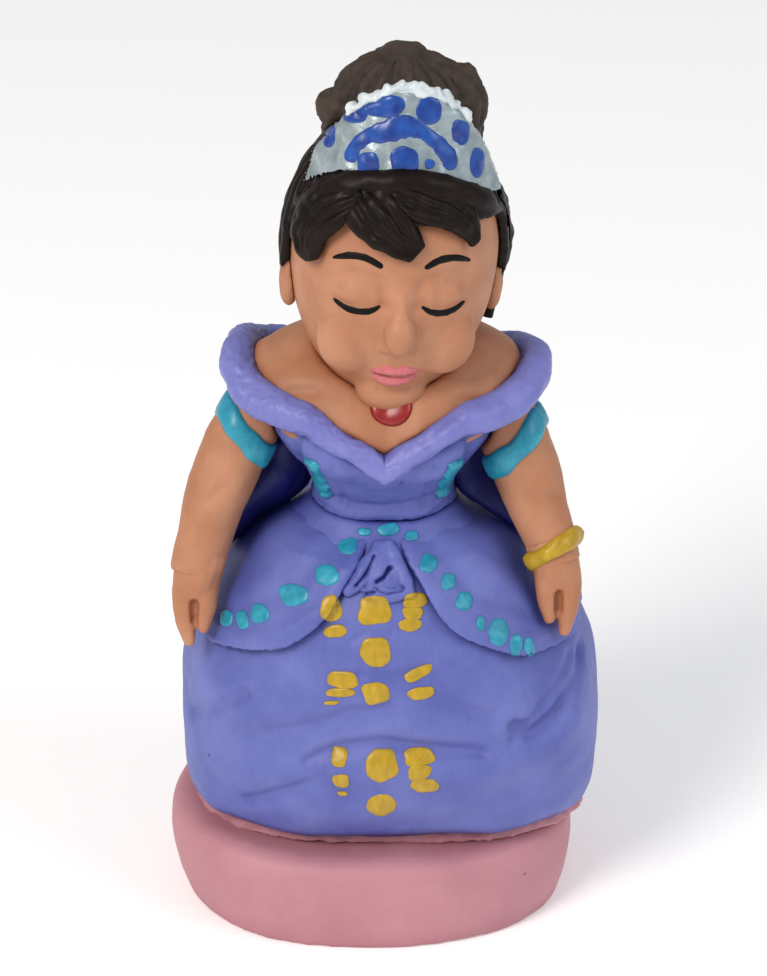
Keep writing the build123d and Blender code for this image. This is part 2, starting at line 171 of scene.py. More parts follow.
def mix(tree, factor, below, above):
    """Colour mix; below and above are sockets or linear colours."""
    made = tree.nodes.new("ShaderNodeMix")
    made.data_type = "RGBA"
    for index, value in ((0, factor), (6, below), (7, above)):
        if isinstance(value, bpy.types.NodeSocket):
            tree.links.new(value, made.inputs[index])
        else:
            made.inputs[index].default_value = value
    return made.outputs[2]


def evaluated(mesh, modifiers):
    """Vertices (in mm), faces of a mesh after modifiers given as (kind, settings)."""
    holder = bpy.data.objects.new("holder", mesh)
    scene.collection.objects.link(holder)
    for kind, settings in modifiers:
        made = holder.modifiers.new(kind, kind)
        for key, value in settings.items():
            setattr(made, key, value)
    graph = bpy.context.evaluated_depsgraph_get()
    result = bpy.data.meshes.new_from_object(holder.evaluated_get(graph))
    bpy.data.objects.remove(holder)
    return result


def arrays(mesh):
    """Vertex places and normals of a mesh."""
    count = len(mesh.vertices)
    places, normals = np.empty(count * 3), np.empty(count * 3)
    mesh.vertices.foreach_get("co", places)
    mesh.vertex_normals.foreach_get("vector", normals)
    return places.reshape(-1, 3), normals.reshape(-1, 3)


def store(mesh, places):
    mesh.vertices.foreach_set("co", places.astype(np.float32).ravel())
    mesh.update()


def clay(nodes, lumps=(), voxel=0.3, smooth=4):
    """One skin over CAD nodes and extra lumps, as a mesh in millimetres."""
    points, faces = [], []
    for name in nodes:
        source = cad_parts[name].data
        start = len(points)
        points += [tuple(v.co * 1000) for v in source.vertices]
        faces += [tuple(i + start for i in p.vertices) for p in source.polygons]
    for lump_points, lump_faces in lumps:
        start = len(points)
        points += [tuple(p) for p in lump_points]
        faces += [tuple(i + start for i in f) for f in lump_faces]
    mesh = bpy.data.meshes.new("clay")
    mesh.from_pydata(points, [], faces)
    return evaluated(mesh, [("REMESH", {"mode": "VOXEL", "voxel_size": voxel}),
                            ("SMOOTH", {"factor": 0.5, "iterations": smooth})])


def lump(centre, radii, turn=(0, 0, 0), rows=14, columns=20):
    """Ellipsoid of clay; turn is in degrees."""
    spin = Matrix.Rotation(radians(turn[0]), 3, "X") @ Matrix.Rotation(radians(turn[1]), 3, "Y")
    spin = spin @ Matrix.Rotation(radians(turn[2]), 3, "Z")
    points, faces = [], []
    for i in range(rows + 1):
        tall = pi * i / rows
        for j in range(columns):
            round_ = 2 * pi * j / columns
            p = Vector((radii[0] * sin(tall) * cos(round_), radii[1] * sin(tall) * sin(round_),
                        radii[2] * cos(tall)))
            points.append(Vector(centre) + spin @ p)
    for i in range(rows):
        for j in range(columns):
            a, b = i * columns + j, i * columns + (j + 1) % columns
            faces.append((a, b, b + columns, a + columns))
    return points, faces


def rope(points, radii, columns=14, flat=1.0):
    """Tube of clay along smooth points, with a radius at each."""
    points = [Vector(p) for p in points]
    fine, sizes = [], []
    for i in range(len(points) - 1):
        p0, p1, p2, p3 = points[max(i - 1, 0)], points[i], points[i + 1], points[min(i + 2, len(points) - 1)]
        for k in range(6):
            t = k / 6
            fine.append(0.5 * (2 * p1 + (p2 - p0) * t + (2 * p0 - 5 * p1 + 4 * p2 - p3) * t * t
                               + (3 * p1 - p0 - 3 * p2 + p3) * t ** 3))
            sizes.append(radii[i] + (radii[i + 1] - radii[i]) * t)
    fine.append(points[-1])
    sizes.append(radii[-1])
    out, faces = [], []
    side = None
    for i, p in enumerate(fine):
        along = (fine[min(i + 1, len(fine) - 1)] - fine[max(i - 1, 0)]).normalized()
        if side is None:
            side = along.orthogonal().normalized()
        side = (side - along * side.dot(along)).normalized()
        up = along.cross(side)
        for j in range(columns):
            a = 2 * pi * j / columns
            out.append(p + sizes[i] * (cos(a) * side + flat * sin(a) * up))
    for i in range(len(fine) - 1):
        for j in range(columns):
            a, b = i * columns + j, i * columns + (j + 1) % columns
            faces.append((a, b, b + columns, a + columns))
    faces.append(tuple(range(columns))[::-1])
    faces.append(tuple(range(len(out) - columns, len(out))))
    return out, faces


def stroke_distance(places, path):
    """Distance of each vertex from a polyline."""
    path = np.asarray(path, float)
    best = np.full(len(places), 1e9)
    for a, b in zip(path[:-1], path[1:]):
        along = b - a
        share = np.clip(((places - a) @ along) / max(along @ along, 1e-9), 0, 1)
        best = np.minimum(best, np.linalg.norm(places - (a + share[:, None] * along), axis=1))
    return best


def carve(mesh, strokes):
    """Presses a tool along each stroke: (path, width, depth). A negative depth raises a ridge."""
    for path, width, depth in strokes:
        places, normals = arrays(mesh)
        near = stroke_distance(places, path)
        store(mesh, places - normals * (depth * np.exp(-(near / width) ** 2))[:, None])


def wobble(mesh, size, amount, seed=0):
    """Hand-made unevenness of a given size, in millimetres."""
    places, normals = arrays(mesh)
    shift = Vector((seed * 7.3, seed * 3.1, seed * 5.7))
    lift = np.array([noise.noise(Vector(p) / size + shift) for p in places])
    store(mesh, places + normals * (amount * lift)[:, None])


def put(name, mesh, material, slot, *nodes):
    """Brings a millimetre mesh into the frame as a finished piece."""
    places, _ = arrays(mesh)
    store(mesh, places * MM)
    mesh.polygons.foreach_set("use_smooth", [True] * len(mesh.polygons))
    mesh.materials.clear()
    mesh.materials.append(material)
    piece = bpy.data.objects.new(name, mesh)
    scene.collection.objects.link(piece)
    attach(piece, "root")
    if nodes:
        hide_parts(*nodes)
    return piece


def tree_of(*pieces):
    """Search tree over finished pieces, in millimetres."""
    points, faces = [], []
    for piece in pieces:
        start = len(points)
        points += [v.co * 1000 for v in piece.data.vertices]
        faces += [tuple(i + start for i in p.vertices) for p in piece.data.polygons]
    return BVHTree.FromPolygons(points, faces)


def mesh_tree(mesh):
    return BVHTree.FromPolygons([v.co for v in mesh.vertices], [tuple(p.vertices) for p in mesh.polygons])


def front(tree, x, z):
    """Where a level line from in front meets the surface."""
    hit, _, _, _ = tree.ray_cast(Vector((x, -60, z)), Vector((0, 1, 0)))
    return hit


def back(tree, x, z):
    hit, _, _, _ = tree.ray_cast(Vector((x, 60, z)), Vector((0, -1, 0)))
    return hit


def fronts(tree, *places):
    return [p for p in (front(tree, x, z) for x, z in places) if p is not None]


def backs(tree, *places):
    return [p for p in (back(tree, x, z) for x, z in places) if p is not None]


def from_body(tree, x, z):
    """Start points of slanted rays that lay paint round a spot, offset a to the right and b upwards."""
    spot = front(tree, x, z)
    return lambda a, b: spot + Vector((a, b * sin(pitch) - 20 * cos(pitch), b * cos(pitch) + 20 * sin(pitch)))


down_look = Vector((0, cos(pitch), -sin(pitch)))


def land(tree, start, look):
    """Where paint sent along a line settles: on the surface, or on its nearest edge."""
    hit, normal, _, _ = tree.ray_cast(start, look)
    if hit is None:
        hit, normal, _, _ = tree.find_nearest(start + look * 20)
    return hit, normal


def daub(tree, start, size, turn=0.0, thick=0.16, seed=0, square=2.3, ragged=0.10, cut_top=1.0,
         look=down_look):
    """One raised dab of paint laid on a surface; size is its width and height."""
    columns, rings = 30, ((0.0, 1.0), (0.45, 1.0), (0.75, 0.92), (0.90, 0.70), (0.97, 0.35), (1.0, -0.25))
    c, s = cos(radians(turn)), sin(radians(turn))
    points, faces = [], []
    for share, rise in rings:
        for j in range(columns):
            a = 2 * pi * j / columns
            edge = (abs(cos(a)) ** square + abs(sin(a)) ** square) ** (-1 / square)
            edge *= 1 + ragged * 2 * noise.noise(Vector((cos(a) * 1.1, sin(a) * 1.1, seed * 1.7)))
            u = share * edge * cos(a) * size[0] / 2
            v = min(share * edge * sin(a), cut_top * share) * size[1] / 2
            hit, normal = land(tree, start(u * c - v * s, u * s + v * c), look)
            points.append(hit + normal * thick * rise)
    for i in range(len(rings) - 1):
        for j in range(columns):
            a, b = i * columns + j, i * columns + (j + 1) % columns
            faces.append((a, b, b + columns, a + columns))
    return points, faces


def ribbon(tree, start, path, widths, thick=0.14, seed=0, ragged=0.10, look=down_look):
    """One brush stroke of paint along a path of (right, up) offsets, with a width at each point."""
    line = [Vector(p) for p in path]
    spine, breadth = [], []
    for i in range(len(line) - 1):
        p0, p1, p2, p3 = line[max(i - 1, 0)], line[i], line[i + 1], line[min(i + 2, len(line) - 1)]
        for k in range(8):
            t = k / 8
            spine.append(0.5 * (2 * p1 + (p2 - p0) * t + (2 * p0 - 5 * p1 + 4 * p2 - p3) * t * t
                                + (3 * p1 - p0 - 3 * p2 + p3) * t ** 3))
            breadth.append(widths[i] + (widths[i + 1] - widths[i]) * t)
    spine.append(line[-1])
    breadth.append(widths[-1])
    profile = ((-1.0, -0.25), (-0.88, 0.45), (-0.6, 0.9), (0.0, 1.0), (0.6, 0.9), (0.88, 0.45), (1.0, -0.25))
    points, faces = [], []
    for i, p in enumerate(spine):
        along = (spine[min(i + 1, len(spine) - 1)] - spine[max(i - 1, 0)]).normalized()
        across = Vector((-along.y, along.x))
        end = min(1.0, (0.25 + min(i, len(spine) - 1 - i)) / 2.5) ** 0.5
        for share, rise in profile:
            side = 1 + ragged * 2 * noise.noise(Vector((i * 0.35, share * 2.0, seed * 1.3)))
            q = p + across * (share * side * end * breadth[i] / 2)
            hit, normal = land(tree, start(q.x, q.y), look)
            points.append(hit + normal * thick * (rise if 0 < i < len(spine) - 1 else -0.25))
    wide = len(profile)
    for i in range(len(spine) - 1):
        for j in range(wide - 1):
            faces.append((i * wide + j, i * wide + j + 1, (i + 1) * wide + j + 1, (i + 1) * wide + j))
    return points, faces


def laid(parts):
    """One millimetre mesh from several dabs."""
    points, faces = [], []
    for part_points, part_faces in parts:
        start = len(points)
        points += [tuple(p) for p in part_points]
        faces += [tuple(i + start for i in f) for f in part_faces]
    mesh = bpy.data.meshes.new("paint_layer")
    mesh.from_pydata(points, [], faces)
    mesh.update()
    return mesh


# The dark colour serves the brush streaks and, as painted shade, darkens the plinth's recesses a little.
pink = paint("pink_acrylic", "#c0878f", "#b67c86", "#8a4c5a", roughness=0.55, patch=7.0, recess_shade=0.35,
             tone=0.4, brush=0.02)
plinth = clay(["plinth"], voxel=0.4, smooth=8)
wobble(plinth, 9.0, 0.30, 1)
wobble(plinth, 2.2, 0.07, 2)
plinth_tree = mesh_tree(plinth)
carve(plinth, [([(16.9, -9.6, 7.6), (17.3, -9.3, 7.0)], 0.45, 0.5),
               (fronts(plinth_tree, (-14, 8.2), (-4, 8.9), (6, 8.7), (15, 8.3)), 1.3, -0.16),
               (fronts(plinth_tree, (-17, 2.2), (-6, 1.6), (4, 1.9)), 1.6, 0.12)])
places, _ = arrays(plinth)
places[:, 1] *= np.where(places[:, 1] < 0, 1.09, 1.0)
places[:, 0] += (places[:, 0] + 1.1) * -0.03 * np.clip((places[:, 1] + 3) / 12, 0, 1)
places[:, 2] = np.maximum(places[:, 2], 0)
store(plinth, places)
put("plinth_casting", plinth, pink, "pink_paint", "plinth")
pink_bead = clay(["skirt_joint_bead"], voxel=0.22, smooth=3)
places, _ = arrays(pink_bead)
places[:, 0] += (places[:, 0] - 0.75) * 0.03
store(pink_bead, places)
wobble(pink_bead, 1.6, 0.32, 3)
wobble(pink_bead, 0.7, 0.14, 4)
put("joint_filler", pink_bead, pink, "pink_paint", "skirt_joint_bead")

# ---- the gown: skirt, swags and gather -----------------------------------------------------------
# The ball skirt is one moulded bell with soft creases pressed in while damp. Two side swags are laid over
# it as thin sheets and pinched into a knot at the front. All of it has a coat of matt lilac acrylic.
# The deep navy dark colour is mostly painted shade. It is laid strongly, and over a wide reach, into the
# gown's creases, its recesses and the hollows beside the arms.
lilac = paint("lilac_acrylic", "#6a73b8", "#5760a8", "#141a70", roughness=0.50, patch=6.0, recess_shade=0.85,
              tone=0.5, reach=4.5)
skirt = clay(["skirt_body"], voxel=0.34, smooth=8)
skirt_tree = mesh_tree(skirt)
carve(skirt, [
    (fronts(skirt_tree, (-7.5, 21.6), (-4, 23.2), (0, 23.8), (4, 23.2), (9.5, 22.2)), 0.9, 0.75),
    (fronts(skirt_tree, (-9, 20.0), (-3, 20.8), (4, 20.6), (11, 19.6)), 1.8, -0.45),
    (fronts(skirt_tree, (-13.2, 15.4), (-9.5, 17.8), (-6, 20.2)), 0.8, 0.65),
    (fronts(skirt_tree, (-15, 17.5), (-11, 19.5), (-8, 21.6)), 1.3, -0.30),
    (fronts(skirt_tree, (-12.5, 23.0), (-8, 25.0), (-3.4, 26.8), (0.5, 27.6)), 1.0, 0.50),
    (fronts(skirt_tree, (-14, 25.4), (-8, 27.6), (-2, 29.4)), 1.8, -0.35),
    (fronts(skirt_tree, (12.8, 24.6), (14.4, 23.2), (17.2, 24.6), (19.6, 28.2)), 0.8, 0.85),
    (fronts(skirt_tree, (12.6, 23.2), (15.5, 25.8), (18.4, 28.8)), 0.6, 0.40),
    (fronts(skirt_tree, (9.5, 20.8), (14.5, 20.6), (18.5, 22.8)), 1.6, -0.45),
    (fronts(skirt_tree, (-19.2, 21.6), (-16.4, 24.6), (-13.4, 27.4)), 0.7, 0.50),
    (fronts(skirt_tree, (5.4, 28.8), (8.0, 27.2), (10.4, 26.2)), 0.8, 0.40),
    (fronts(skirt_tree, (-2.4, 31.4), (1.0, 31.2), (4.4, 32.0)), 0.45, 0.26),
    (fronts(skirt_tree, (-3.2, 34.4), (-1.6, 35.4), (0.4, 35.2)), 0.5, 0.30),
    (fronts(skirt_tree, (-16.5, 13.0), (-8, 12.2), (2, 12.6), (11, 12.2), (17, 13.4)), 1.5, -0.30),
    (backs(skirt_tree, (-15, 18), (-8, 21.5), (0, 23), (8, 21), (15, 18.5)), 1.0, 0.60),
    (backs(skirt_tree, (-12, 26), (-4, 24.5), (3, 27), (11, 29)), 1.2, 0.50),
    (backs(skirt_tree, (-9, 14.5), (-2, 17), (6, 15.5), (13, 14)), 1.1, 0.50),
    (backs(skirt_tree, (-12, 17), (-4, 19.5), (5, 18.8), (12, 17)), 1.8, -0.40),
])
places, _ = arrays(skirt)
places[:, 0] += (places[:, 0] - 0.75) * 0.035 * np.clip((17 - places[:, 2]) / 5, 0, 1)
store(skirt, places)
wobble(skirt, 7.0, 0.42, 5)
wobble(skirt, 1.8, 0.07, 6)
gown_skirt = put("gown_skirt", skirt, lilac, "lilac_paint", "skirt_body")

swags = []
for name, side in (("left", -1), ("right", 1)):
    swag = clay([f"swag_{name}"], voxel=0.24, smooth=5)
    tree = mesh_tree(swag)
    edge = fronts(tree, *[(side * x, z) for x, z in ((1.2, 43.2), (3.0, 41.2), (6.0, 37.2), (9.5, 34.6),
                                                     (14.0, 32.9), (18.0, 32.4))])
    carve(swag, [(edge, 0.9, -0.32),
                 (fronts(tree, *[(side * x, z) for x, z in ((4.5, 42.2), (8.5, 38.4), (13.5, 35.4),
                     (18.0, 34.2))]), 1.1, 0.24),
                 (fronts(tree, *[(side * x, z) for x, z in ((7.0, 41.8), (11.0, 38.8), (16.0, 36.8))]), 1.6,
                  -0.22),
                 (backs(tree, *[(side * x, z) for x, z in ((1.5, 42.0), (6.0, 37.4), (12.0, 34.4))]), 1.0,
                  0.28)])
    wobble(swag, 4.5, 0.30, 7 + side)
    # the sheet's thin top edge is pressed into the waist
    places, _ = arrays(swag)
    tuck = np.clip(places[:, 2] - 40.9, 0, None)[:, None] * 0.85
    outward = places * (1, 1, 0) - (0, -1.4, 0)
    outward /= np.maximum(np.linalg.norm(outward, axis=1), 1e-6)[:, None]
    store(swag, places - outward * tuck)
    swags.append(put(f"overskirt_swag_{name}", swag, lilac, "lilac_paint", f"swag_{name}"))

folds = [([(-0.2, 42.4), (-1.3, 41.0), (-2.5, 39.6), (-3.7, 38.5)], [0.5, 0.9, 0.95, 0.45]),
         ([(0.1, 42.4), (-0.1, 41.2), (-0.2, 40.0)], [0.5, 0.8, 0.6]),
         ([(0.4, 42.4), (1.2, 41.0), (2.0, 39.6), (2.6, 38.4)], [0.5, 0.85, 0.9, 0.45]),
         ([(-2.0, 38.7), (-0.6, 38.8), (1.0, 38.6), (2.4, 38.9)], [0.4, 0.75, 0.75, 0.4])]
gather = clay([], [rope([p + Vector((0, -0.2, 0)) for p in fronts(skirt_tree, *path)], radii)
                   for path, radii in folds]
              + [lump(front(skirt_tree, -0.2, 40.3), (2.1, 0.8, 2.2), (-40, 0, 0))], voxel=0.13, smooth=5)
tree = mesh_tree(gather)
carve(gather, [(fronts(tree, (-0.9, 41.9), (-1.6, 40.6), (-2.6, 39.6)), 0.20, 0.65),
               (fronts(tree, (0.6, 41.0), (0.0, 40.3), (-0.7, 39.9)), 0.18, 0.85),
               (fronts(tree, (-1.0, 39.3), (-2.0, 38.8), (-3.0, 38.2)), 0.20, 0.60),
               (fronts(tree, (-0.8, 39.5), (0.4, 39.2), (1.8, 39.4)), 0.22, 0.35)])
wobble(gather, 1.2, 0.16, 9)
gathered = put("gathered_knot", gather, lilac, "lilac_paint", "front_gather")
gown_tree = tree_of(gown_skirt, *swags, gathered)

# ---- the dabs on the gown ------------------------------------------------------------------------
# A row of turquoise dabs follows the swags' edge, and three rows of gold dabs run down the front. Each is
# one touch of a loaded round brush: a slightly domed, crisp-edged patch of satin acrylic.
turquoise = paint("turquoise_acrylic", "#30a3ba", "#2389a3", "#0f6780", roughness=0.36, patch=1.2, recess_shade=0.3,
                  coat=0.1, brush=0.03, tone=1.6)
gold = paint("gold_acrylic", "#c8a01f", "#b3901c", "#7c6e10", roughness=0.36, patch=1.1, recess_shade=0.3, coat=0.1,
             brush=0.03, tone=1.8)
dots = [(0.5, 43.1, 2.2, 1.2), (-1.9, 42.9, 1.4, 0.8), (-3.4, 41.9, 1.9, 1.6), (-5.4, 40.1, 2.4, 2.0),
        (-8.6, 37.9, 3.1, 2.1),
        (-11.9, 35.6, 1.9, 1.8), (-13.6, 34.3, 1.2, 1.8), (-15.2, 33.8, 1.3, 1.6), (2.7, 42.5, 1.4, 1.0),
        (4.3, 41.0, 1.7, 1.8),
        (6.2, 39.4, 1.4, 1.6), (7.7, 37.8, 1.6, 1.8), (9.3, 35.7, 0.9, 1.5), (11.0, 34.6, 2.1, 2.6),
        (12.7, 33.1, 1.2, 2.3), (14.0, 32.6, 0.9, 2.1)]
put("turquoise_dabs", laid([daub(gown_tree, from_body(gown_tree, x, z), (w, h), 8 * cos(i * 2.1), seed=i,
                                 ragged=0.13)
                            for i, (x, z, w, h) in enumerate(dots)]), turquoise, "turquoise_paint")
touches = [(-5.0, 37.2, 2.1, 2.6, 8), (-4.6, 35.3, 2.1, 1.3, 0), (-0.9, 37.4, 3.1, 2.8, -6),
           (3.0, 38.1, 2.3, 1.5, 6),
           (2.8, 37.0, 2.0, 1.3, 0), (2.6, 36.0, 2.1, 1.2, 4), (-0.8, 33.6, 2.9, 2.9, 0),
           (-3.9, 30.6, 3.1, 1.8, -5),
           (-4.2, 29.4, 2.7, 0.9, 0), (-5.0, 28.3, 1.5, 0.4, 3), (-0.7, 29.5, 2.6, 2.2, 0),
           (3.3, 31.3, 2.8, 1.2, 24),
           (3.6, 29.4, 2.5, 1.2, 12), (-4.3, 22.3, 1.6, 2.1, 0), (-4.1, 19.9, 1.7, 1.4, -8),
           (-4.0, 18.3, 1.0, 0.45, 0),
           (-0.2, 21.7, 3.3, 3.3, 0), (3.5, 22.4, 3.0, 1.9, 6), (3.5, 20.9, 2.1, 1.7, 0),
           (3.9, 19.4, 2.7, 1.4, -4), (-0.2, 16.9, 2.9, 2.3, 0)]
put("gold_dabs", laid([daub(gown_tree, from_body(gown_tree, x, z), (w, h), turn, seed=20 + i, square=2.5,
                            ragged=0.13)
                       for i, (x, z, w, h, turn) in enumerate(touches)]), gold, "gold_paint")

# ---- the bodice, the collar roll and the bust ----------------------------------------------------
# The bodice is pressed on the dowel above the skirt and seamed by tool lines. A soft roll of the same stuff
# lies round the bare shoulders and meets in a V. Shoulders and neck are one piece, painted in skin colour.
# Painted shade darkens the skin in its recesses and creases, such as under the chin.
skin = paint("skin_acrylic", "#bb8464", "#ac7453", "#8a4626", roughness=0.52, patch=4.0, recess_shade=0.55,
             pits=0.90, tone=0.35, brush=0.03)


def neckline(mesh, top_only=False):
    """Draws the front of the neckline from a shallow curve into a V."""
    places, _ = arrays(mesh)
    lift = np.interp(np.abs(places[:, 0] - 0.2), [0, 7.5, 13.5], [-1.3, 1.7, 0])
    if top_only:
        lift = np.minimum(lift, 0)
    share = np.clip((places[:, 2] - 46.5) / 5.0, 0, 1) * np.clip((60.5 - places[:, 2]) / 5.0, 0, 1)
    places[:, 2] += lift * share * np.clip((-2.0 - places[:, 1]) / 4.0, 0, 1)
    store(mesh, places)



bodice = clay(["bodice"], [lump((-4.2, -9.2, 51.2), (3.6, 2.0, 2.6)),
                           lump((4.2, -9.2, 51.2), (3.6, 2.0, 2.6))], voxel=0.26, smooth=6)
tree = mesh_tree(bodice)
carve(bodice, [(fronts(tree, (side * 4.6, 50.5), (side * 4.3, 47.5), (side * 3.8, 45.0)), 0.45, 0.28)
               for side in (-1, 1)]
      + [(fronts(tree, (side * 8.0, 50.5), (side * 7.4, 47.5), (side * 6.4, 45.0)), 0.6,
          0.30) for side in (-1, 1)]
      + [(fronts(tree, (-6.2, 44.9), (-3.0, 44.2), (0.0, 44.4), (3.4, 44.2), (6.0, 45.0)), 0.5, -0.25),
         (fronts(tree, (-5.8, 46.0), (-1.5, 45.4), (2.6, 45.6), (5.6, 46.2)), 0.45, 0.22),
         (fronts(tree, (1.7, 50.1), (1.75, 49.4)), 0.16, 0.30)])
neckline(bodice)
wobble(bodice, 3.0, 0.25, 10)
wobble(bodice, 0.9, 0.06, 11)
bodice_piece = put("bodice_shell", bodice, lilac, "lilac_paint", "bodice")
bodice_tree = tree_of(bodice_piece)
for name, side in (("left", -1), ("right", 1)):
    def strip(a, b, side=side):
        return Vector((side * (6.1 + a), -60, 48.4 + b))
    braid = ribbon(bodice_tree, strip, [(0.7, 3.2), (0.5, 1.6), (0.0, 0.0), (-0.2, -1.6), (-0.6, -3.3)],
                   [1.2, 1.5, 1.1, 1.5, 1.3], thick=0.42,
                   seed=50 + side, ragged=0.30, look=Vector((0, 1, 0)))
    put(f"braid_{name}", laid([braid]), turquoise, "turquoise_paint", f"bodice_trim_{name}")

bust = clay(["bust"], [lump((-9.4, -1.0, 56.4), (4.4, 4.4, 3.4), (0, 20, 0)),
                       lump((9.6, -1.0, 55.6), (4.4, 4.4, 3.4), (0, -20, 0)),
                       lump((-4.0, -6.6, 53.6), (4.2, 3.6, 3.2)), lump((4.2, -6.6, 53.4), (4.2, 3.6, 3.2))],
            voxel=0.28, smooth=20)
tree = mesh_tree(bust)
carve(bust, [(fronts(tree, (-8.6, 57.4), (-6.6, 57.6)), 0.7, 0.30),
             (fronts(tree, (8.8, 56.6), (7.0, 56.9)), 0.7, 0.30)])
neckline(bust, top_only=True)
wobble(bust, 3.5, 0.16, 12)
bust_tree = tree_of(put("shoulders_and_neck", bust, skin, "skin_paint", "bust"))
# Gloss red craft acrylic: one smooth domed drop with a sharp highlight.
red = paint("red_acrylic", "#9c1712", "#85100d", "#4d0505", roughness=0.30, patch=1.0, recess_shade=0.3, coat=0.3,
            brush=0.02)
at_chest = from_body(bust_tree, 0.7, 56.0)
put("pendant_drop", laid([daub(bust_tree, lambda a, b: at_chest(a, b + 0.9), (4.1, 4.2), thick=0.5, seed=60,
                               square=2.0, ragged=0.03, cut_top=0.12)]), red, "red_paint", "pendant")

# The rolls have the same lilac paint, made a little paler here as a painted highlight along the rim, and left
# rougher.
collar_lilac_highlit = paint("lilac_acrylic_highlit_rim", "#7c7fc4", "#6f72b8", "#262c7e", roughness=0.42, patch=3.0,
                     recess_shade=0.7, tone=0.5, grain=0.05)
for name, side in (("left", -1), ("right", 1)):
    roll = clay([f"collar_roll_{name}"], [rope([(-2.4, -11.6, 52.6), (0.2, -12.0, 52.3),
                                                (2.6, -11.5, 52.6)], [0.9, 1.1, 0.9])] if side < 0 else [],
                voxel=0.22, smooth=5)
    tree = mesh_tree(roll)
    for step in range(9):
        x = side * (1.4 + step * 1.45)
        top = front(tree, x, 53.2 + step * 0.62)
        if top is not None:
            carve(roll, [([top, top + Vector((side * 0.8, 0.6, 1.3))], 0.5, 0.16)])
    neckline(roll)
    wobble(roll, 2.6, 0.34, 14 + side)
    wobble(roll, 0.5, 0.12 if side < 0 else 0.05, 16 + side)
    put(f"collar_{name}", roll, collar_lilac_highlit, "lilac_paint", f"collar_roll_{name}")

# ---- the arms, the hands and the bands -----------------------------------------------------------
# Each arm is a rolled sausage on a wire, smoothed into the shoulder. The hands are flattened and cut into
# fingers with a tool, and rest on the skirt. The bands are strips of the same stuff in satin colours.
def hoop(tree, centre, axis, toward, slope, breadth, thick, seed, lumpy=0.18):
    """Band of clay pressed round a limb; it climbs by slope on the side it is turned toward."""
    axis = axis.normalized()
    first = (toward - axis * toward.dot(axis)).normalized()
    second = axis.cross(first)
    profile = ((-1.0, -0.4), (-0.92, 0.45), (-0.6, 0.95), (0.0, 1.1), (0.6, 0.95), (0.92, 0.45), (1.0, -0.4))
    columns, points, faces = 56, [], []
    for i in range(columns):
        angle = 2 * pi * i / columns
        out = first * cos(angle) + second * sin(angle)
        rough = noise.noise(Vector((cos(angle) * 1.8, sin(angle) * 1.8, seed)))
        for share, rise in profile:
            middle = centre + axis * (share * breadth * (1 + 0.25 * rough) - slope * cos(angle))
            hit, _, _, _ = tree.ray_cast(middle + out * 9, -out)
            swell = thick * rise * (1 + lumpy * 2.5 * noise.noise(Vector((cos(angle) * 2.6,
                sin(angle) * 2.6, seed + share * 0.7))))
            points.append((hit if hit is not None else middle + out * 2.2) + out * swell)
    wide = len(profile)
    for i in range(columns):
        for j in range(wide - 1):
            k = (i + 1) % columns
            faces.append((i * wide + j, i * wide + j + 1, k * wide + j + 1, k * wide + j))
    return points, faces


arm_meshes = {}
for name, side in (("left", -1), ("right", 1)):
    arm = clay([f"arm_{name}"], voxel=0.24, smooth=8)
    wobble(arm, 4.5, 0.30, 20 + side)
    wobble(arm, 1.4, 0.06, 22 + side)
    tree = mesh_tree(arm)
    carve(arm, [(fronts(tree, (side * 15.0, 47.2), (side * 17.2, 45.6)), 0.6, 0.22)])
    arm_meshes[name] = arm.copy()
    put(f"arm_{name}_skin", arm, skin, "skin_paint", f"arm_{name}")

    wrist = Vector((-18.0, -7.2, 37.7)) if side < 0 else Vector((16.6, -7.6, 39.0))
    up = Vector((-side * 1.1, 0.7, 2.6))
    outer = [(0.55, 0.1, 0.6, 1.75), (1.1, -0.9, -1.9, 1.45), (1.1, -1.9, -4.2, 1.05),
             (0.8, -2.7, -6.4, 0.42)]
    inner = [(-0.45, 0.1, 0.6, 1.75), (-0.75, -1.2, -1.7, 1.30), (-0.65, -2.2, -3.5, 0.92),
             (-0.55, -2.7, -5.0, 0.42)]
    fingers = [rope([wrist + Vector((side * x, y, z)) for x, y, z, _ in path], [r for _, _, _, r in path])
               for path in (outer, inner)]
    palm = rope([wrist + up, wrist + up * 0.4, wrist + Vector((side * 0.1, -0.5, -1.0)),
                 wrist + Vector((side * 0.2, -1.1, -2.6))], [2.05, 2.3, 2.15, 1.2])
    hand = clay([], [palm, *fingers], voxel=0.16, smooth=6)
    tree = mesh_tree(hand)
    carve(hand, [(fronts(tree, (wrist.x + side * 0.3, wrist.z - 2.0),
                         (wrist.x + side * 0.25, wrist.z - 3.6)), 0.35, 0.55)])
    wobble(hand, 1.6, 0.10, 24 + side)
    put(f"hand_{name}_skin", hand, skin, "skin_paint", f"hand_{name}")

    shoulder = Vector((-10.55, -1.2, 56.0)) if side < 0 else Vector((10.55, -1.2, 55.0))
    down = (wrist - shoulder).normalized()
    arm_tree = mesh_tree(arm_meshes[name])
    ribbon_band = laid([hoop(arm_tree, shoulder + down * 5.3 + Vector((side * 0.8, 0, 0)), down,
                             Vector((side, 0.25, 0)), 1.7, 1.35, 0.42, 26 + side, 0.10)])
    put(f"arm_ribbon_{name}", ribbon_band, turquoise, "turquoise_paint", f"armband_{name}")
    if side > 0:
        bangle_mesh = laid([hoop(arm_tree, wrist - down * 1.5, down, Vector((side, -0.3, 0)), 0.55, 0.95,
                                 0.60, 30, 0.30)])
        put("bangle", bangle_mesh, gold, "gold_paint", "bracelet")

